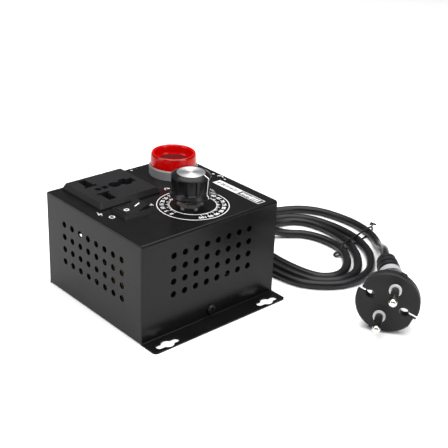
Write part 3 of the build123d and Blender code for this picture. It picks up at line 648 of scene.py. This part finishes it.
def label_slab(name, x_range, y_range, low, high, finish):
    """A flat patch of the label film."""
    (x0, x1), (y0, y1) = x_range, y_range
    shell = bmesh.new()
    corners = [(x0, y0), (x1, y0), (x1, y1), (x0, y1)]
    foot = [shell.verts.new(Vector((x, y, 61.0 + low)) * MM) for x, y in corners]
    top = [shell.verts.new(Vector((x, y, 61.0 + high)) * MM) for x, y in corners]
    shell.faces.new(foot[::-1])
    shell.faces.new(top)
    for step in range(4):
        after = (step + 1) % 4
        shell.faces.new((foot[step], foot[after], top[after], top[step]))
    mesh = bpy.data.meshes.new(name)
    shell.to_mesh(mesh)
    shell.free()
    mesh.materials.append(finish)
    piece = bpy.data.objects.new(name, mesh)
    scene.collection.objects.link(piece)
    return piece


label_white = worked_surface("label_white", (0.72, 0.72, 0.72), 0.4, 1500, 0.06, 0.004)
label_black = worked_surface("label_black", (0.012, 0.012, 0.012), 0.35, 1500, 0.2, 0.004)
coat_nodes(label_black, "label_strip")
pale_half = label_slab("label_pale_half", (LABEL_X[0] + 0.1, LABEL_SPLIT),
                       (LABEL_Y[0] + 0.1, LABEL_Y[1] - 0.1), 0.1, 0.13, label_white)
frame_slabs = [label_slab("frame_a", (LABEL_SPLIT, LABEL_X[1] - 0.1), (LABEL_Y[0] + 0.1,
                          LABEL_Y[0] + 0.5), 0.1, 0.13, label_white),
               label_slab("frame_b", (LABEL_SPLIT, LABEL_X[1] - 0.1), (LABEL_Y[1] - 0.5,
                          LABEL_Y[1] - 0.1), 0.1, 0.13, label_white),
               label_slab("frame_c", (LABEL_X[1] - 0.5, LABEL_X[1] - 0.1),
                          (LABEL_Y[0] + 0.5, LABEL_Y[1] - 0.5), 0.1, 0.13, label_white)]


def bars_tree(name):
    """Node tree that lays a row of short bars of uneven height along a line."""
    tree = bpy.data.node_groups.new(name, "GeometryNodeTree")
    for label, kind in (("Count", "NodeSocketInt"), ("First", "NodeSocketVector"),
                        ("Pitch", "NodeSocketVector"), ("Bar Size", "NodeSocketVector"),
                        ("Finish", "NodeSocketMaterial"), ("Seed", "NodeSocketInt")):
        tree.interface.new_socket(label, in_out="INPUT", socket_type=kind)
    tree.interface.new_socket("Geometry", in_out="OUTPUT", socket_type="NodeSocketGeometry")
    nodes, links = tree.nodes, tree.links
    given = nodes.new("NodeGroupInput")
    made = nodes.new("NodeGroupOutput")
    row = nodes.new("GeometryNodeMeshLine")
    links.new(given.outputs["Count"], row.inputs["Count"])
    links.new(given.outputs["First"], row.inputs["Start Location"])
    links.new(given.outputs["Pitch"], row.inputs["Offset"])
    bar = nodes.new("GeometryNodeMeshCube")
    links.new(given.outputs["Bar Size"], bar.inputs["Size"])
    height = nodes.new("FunctionNodeRandomValue")
    height.data_type = "FLOAT_VECTOR"
    height.inputs["Min"].default_value = (0.55, 0.6, 1.0)
    height.inputs["Max"].default_value = (1.25, 1.0, 1.0)
    links.new(given.outputs["Seed"], height.inputs["Seed"])
    copies = nodes.new("GeometryNodeInstanceOnPoints")
    links.new(row.outputs["Mesh"], copies.inputs["Points"])
    links.new(bar.outputs["Mesh"], copies.inputs["Instance"])
    links.new(height.outputs["Value"], copies.inputs["Scale"])
    real = nodes.new("GeometryNodeRealizeInstances")
    links.new(copies.outputs["Instances"], real.inputs["Geometry"])
    finish = nodes.new("GeometryNodeSetMaterial")
    links.new(real.outputs["Geometry"], finish.inputs["Geometry"])
    links.new(given.outputs["Finish"], finish.inputs["Material"])
    links.new(finish.outputs["Geometry"], made.inputs["Geometry"])
    return tree


label_rows = bars_tree("label_rows")
dark_bars = grown("label_dark_bars", label_rows, **{
    "Count": 11, "First": Vector((5.0, 40.1, 61.15)) * MM, "Pitch": (1.62 * MM, 0, 0),
    "Bar Size": (0.95 * MM, 3.0 * MM, 0.03 * MM), "Finish": label_black, "Seed": 4})
pale_bars = grown("label_pale_bars", label_rows, **{
    "Count": 8, "First": Vector((26.0, 40.1, 61.12)) * MM, "Pitch": (1.95 * MM, 0, 0),
    "Bar Size": (1.45 * MM, 4.0 * MM, 0.03 * MM), "Finish": label_white, "Seed": 9})
label_light = joined("label_light", [pale_half] + frame_slabs + [pale_bars])
for label_piece in (label_light, dark_bars):
    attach(label_piece, "housing")

# ------------------------------------------------------------------ inside
# A phenolic circuit board on hex standoffs. It carries a triac bolted to a finned heat sink, a
# film capacitor, a wound choke, resistors, a fuse in clips and the terminals for the wires.

board_laminate = worked_surface("board_laminate", (0.20, 0.13, 0.05), 0.5, 500, 0.15, 0.01)
black_aluminium = worked_surface("black_aluminium", (0.03, 0.03, 0.03), 0.45, 900, 0.2, 0.01,
                                 metal=0.7)
epoxy_black = worked_surface("epoxy_black", (0.015, 0.015, 0.016), 0.5, 1200, 0.2, 0.02)
capacitor_yellow = worked_surface("capacitor_yellow", (0.55, 0.36, 0.06), 0.35, 700, 0.1, 0.01)
ferrite = worked_surface("ferrite", (0.25, 0.09, 0.04), 0.4, 350, 0.35, 0.05)
resistor_body = worked_surface("resistor_body", (0.42, 0.33, 0.2), 0.4, 900, 0.1, 0.01)
fuse_glass = worked_surface("fuse_glass", (0.55, 0.6, 0.6), 0.1, 500, 0.1, 0.002)
terminal_green = worked_surface("terminal_green", (0.04, 0.16, 0.08), 0.4, 900, 0.15, 0.01)
coat_nodes(board_laminate, "circuit_board")
coat_nodes(plated_steel, "standoffs", "board_screws", "triac_screw", "fuse_clips")
coat_nodes(black_aluminium, "heat_sink")
coat_nodes(epoxy_black, "triac")
coat_nodes(capacitor_yellow, "film_capacitor")
coat_nodes(ferrite, "choke")
coat_nodes(resistor_body, "resistors")
coat_nodes(fuse_glass, "fuse")
coat_nodes(terminal_green, "terminal_block")

# ------------------------------------------------------------------ gland
# Moulded nylon strain relief, pushed through the rear panel from outside and locked by its
# barbs. It tapers along the first stretch of the cord.

gland_nylon = worked_surface("gland_nylon", (0.014, 0.014, 0.014), 0.45, 900, 0.2, 0.02)
coat_nodes(gland_nylon, "gland")

# ------------------------------------------------------------------ mains cord
# Round two-core lead with a smooth black PVC sheath, 5.6 mm across. It comes out of the rear
# gland, drops over its own turns, makes over three and a half loose turns and ends in the plug.

CORD_ACROSS = 5.6 * MM
LEAD_DOWN = [(-9, 66, 20), (-9, 76, 19.2), (-9.2, 86, 15.4), (-9, 95.5, 10), (-6.8, 104, 5.2)]
TURN_INNER = [(-1.5, 111.8), (3.4, 118.6), (9.6, 122.6), (17.4, 125), (25.5, 125.6),
              (31.8, 125.2), (38.7, 122.8), (46.3, 118), (52.5, 112), (57, 105.5), (59.8, 99.5),
              (60.3, 93), (58.3, 87.3), (53.8, 82.6), (46, 80), (37, 78.8), (28, 78.4),
              (18, 78.8), (8, 80.2), (-2, 84), (-10.5, 90.5), (-16.3, 99), (-18.8, 109.5),
              (-18, 120)]
TURN_MIDDLE = [(-14.8, 128.5), (-9.4, 134), (-2.5, 137), (6, 138.4), (15.6, 138.2),
               (25.8, 136.4), (34.6, 133.4), (42.9, 129.2), (50.9, 123.6), (57.5, 117),
               (62.8, 110.5), (65.8, 103.5), (66.5, 96.5), (65.4, 89.5), (61.3, 82),
               (55, 76.6), (47, 74), (38, 72.9), (28, 72.5), (18, 72.8), (7, 74), (-4, 77.6),
               (-14, 84), (-21, 92.5), (-25, 103), (-26, 114), (-23.5, 125.5), (-18, 134.5)]
TURN_OUTER = [(-10, 141), (0, 144.2), (10, 145.5), (20, 145.6), (29.5, 144.3), (38.3, 141.6),
              (47.2, 137.3), (55.1, 131.7), (62.5, 124.3), (67.8, 117), (71, 108.6),
              (72.3, 100.5), (71.5, 93), (69, 85.5), (65.2, 79.5), (59.3, 73.2), (52.8, 68.6),
              (45, 66.4), (36, 65.5), (26, 65), (14, 65.2), (2, 66.6), (-9, 69.8),
              (-19, 75.2), (-28, 83.5), (-34.5, 94), (-37.6, 106), (-37.3, 118), (-34, 129.5),
              (-30.2, 139.4), (-25.8, 147.2), (-19.2, 153.4), (-11.5, 157.5), (-3, 159.7),
              (6, 161.1), (16.1, 161.3), (27.4, 159.4), (39.7, 154.4)]
TAIL_UP = [(48.8, 147, 3.6), (57.2, 139, 7.4), (65.4, 130.6, 12.6), (72.4, 122.6, 17.1),
           (79.4, 114.6, 19.7), (86.13, 107.27, 20.29)]
cord_route = [Vector(p) * MM for p in LEAD_DOWN]
for turn in (TURN_INNER, TURN_MIDDLE, TURN_OUTER):
    cord_route += [Vector((x, y, 2.8)) * MM for x, y in turn]
cord_route += [Vector(p) * MM for p in TAIL_UP]

cord_curve = bpy.data.curves.new("mains_cord", "CURVE")
cord_curve.dimensions = "3D"
cord_line = cord_curve.splines.new("NURBS")
cord_line.points.add(len(cord_route) - 1)
for point, spot in zip(cord_line.points, cord_route):
    point.co = (*spot, 1)
cord_line.order_u = 3
cord_line.use_endpoint_u = True
cord_line.resolution_u = 6
cord_curve.bevel_depth = CORD_ACROSS / 2
cord_curve.bevel_resolution = 6
cord_curve.use_fill_caps = True
mains_cord = bpy.data.objects.new("mains_cord", cord_curve)
scene.collection.objects.link(mains_cord)

sheath_pvc = worked_surface("sheath_pvc", (0.007, 0.007, 0.008), 0.32, 700, 0.3, 0.015, shine=0.25)
mains_cord.data.materials.append(sheath_pvc)
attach(mains_cord, "housing")
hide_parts("cord_lead", "cord_coil", "cord_tail")

# ------------------------------------------------------------------ cord tie
# A PVC-covered wire tie. It goes round the turns once, is twisted into a knot with two ends on
# the far side, and leaves a small open loop on the near side.

TIE_LOOP = [(37.4, 120.8, 1.4), (36.2, 119.6, 1.1), (36.2, 117.4, 0.9), (38.0, 115.7, 0.9),
            (40.0, 115.9, 1.0), (40.8, 117.8, 1.6), (39.8, 119.6, 3.2), (38.6, 121.0, 5.2)]
TIE_OVER = [(37.4, 123.5, 6.5), (35.9, 130.5, 6.5), (34.6, 137, 6.4), (33.4, 144, 6.0),
            (32.0, 152.5, 6.4), (31.0, 158.6, 6.5), (30.3, 162.4, 5.6), (29.8, 163.6, 3.6)]
TIE_UNDER = [(29.9, 163.0, 1.2), (31.0, 158.4, 0.75), (33.2, 146, 0.7), (35.2, 133, 0.7),
             (36.9, 123.6, 0.7), (37.4, 120.8, 1.0)]
TIE_KNOT = [(30.6, 162.0, 6.6), (29.3, 163.2, 7.6), (31.2, 164.4, 7.2), (32.6, 163.2, 7.8),
            (31.0, 161.9, 8.2), (28.9, 162.9, 8.0), (27.6, 164.2, 6.8), (26.8, 164.6, 5.2)]
tie_pvc = worked_surface("tie_pvc", (0.008, 0.008, 0.008), 0.4, 900, 0.2, 0.02, shine=0.2)


def wire_length(name, spots, radius):
    """One length of the tie's wire, bent through the spots given."""
    bent = bpy.data.curves.new(name, "CURVE")
    bent.dimensions = "3D"
    line = bent.splines.new("NURBS")
    line.points.add(len(spots) - 1)
    for point, spot in zip(line.points, spots):
        point.co = (*(Vector(spot) * MM), 1)
    line.order_u = 3
    line.use_endpoint_u = True
    line.resolution_u = 6
    bent.bevel_depth = radius * MM
    bent.bevel_resolution = 3
    bent.use_fill_caps = True
    wire = bpy.data.objects.new(name, bent)
    scene.collection.objects.link(wire)
    bpy.context.view_layer.update()
    mesh = bpy.data.meshes.new_from_object(
        wire.evaluated_get(bpy.context.evaluated_depsgraph_get()))
    bpy.data.objects.remove(wire)
    mesh.materials.clear()
    mesh.materials.append(tie_pvc)
    piece = bpy.data.objects.new(name, mesh)
    scene.collection.objects.link(piece)
    return piece


cord_tie = joined("cord_tie_wire", [wire_length("tie_wrap", TIE_LOOP + TIE_OVER + TIE_UNDER, 0.65),
                                    wire_length("tie_knot", TIE_KNOT, 0.65)])
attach(cord_tie, "housing")
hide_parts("cord_tie")

# ------------------------------------------------------------------ plug
# Round two-pin plug, moulded onto the cord in black PVC with a ribbed neck. Its bare nickel
# pins have black sleeves halfway and stand in pale collars.

plug_pvc = worked_surface("plug_pvc", (0.010, 0.010, 0.011), 0.46, 900, 0.25, 0.03, shine=0.22)
collar_grey = worked_surface("collar_grey", (0.55, 0.55, 0.56), 0.5, 900, 0.1, 0.01)
pin_nickel = worked_surface("pin_nickel", (0.62, 0.60, 0.56), 0.14, 700, 0.15, 0.003, metal=1.0,
                            rough_shift=0.04)
sleeve_black = worked_surface("sleeve_black", (0.012, 0.012, 0.012), 0.35, 900, 0.2, 0.01)
coat_nodes(plug_pvc, "plug_body", "plug_neck")
coat_nodes(collar_grey, "plug_collars")
coat_nodes(pin_nickel, "plug_pins")
coat_nodes(sleeve_black, "plug_sleeves")

NECK_FOOT = Vector((102.92, 93.34, 17.41)) * MM
NECK_WAY = Vector((-0.763, 0.633, 0.131)).normalized()
BAND_OUTLINE = [(6.95, 3.6), (7.15, 3.7), (7.2, 4.2), (7.2, 7.2), (7.15, 7.7), (6.95, 7.8),
                (6.5, 7.8), (6.5, 3.6)]
band_grey = worked_surface("band_grey", (0.33, 0.32, 0.33), 0.6, 900, 0.12, 0.02, shine=0.2)
neck_band = lathed("plug_neck_band", BAND_OUTLINE, Vector((0, 0, 0)), (band_grey,), 72)
neck_band.data.transform(Matrix.Translation(NECK_FOOT)
                         @ NECK_WAY.to_track_quat("Z", "Y").to_matrix().to_4x4())
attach(neck_band, "housing")
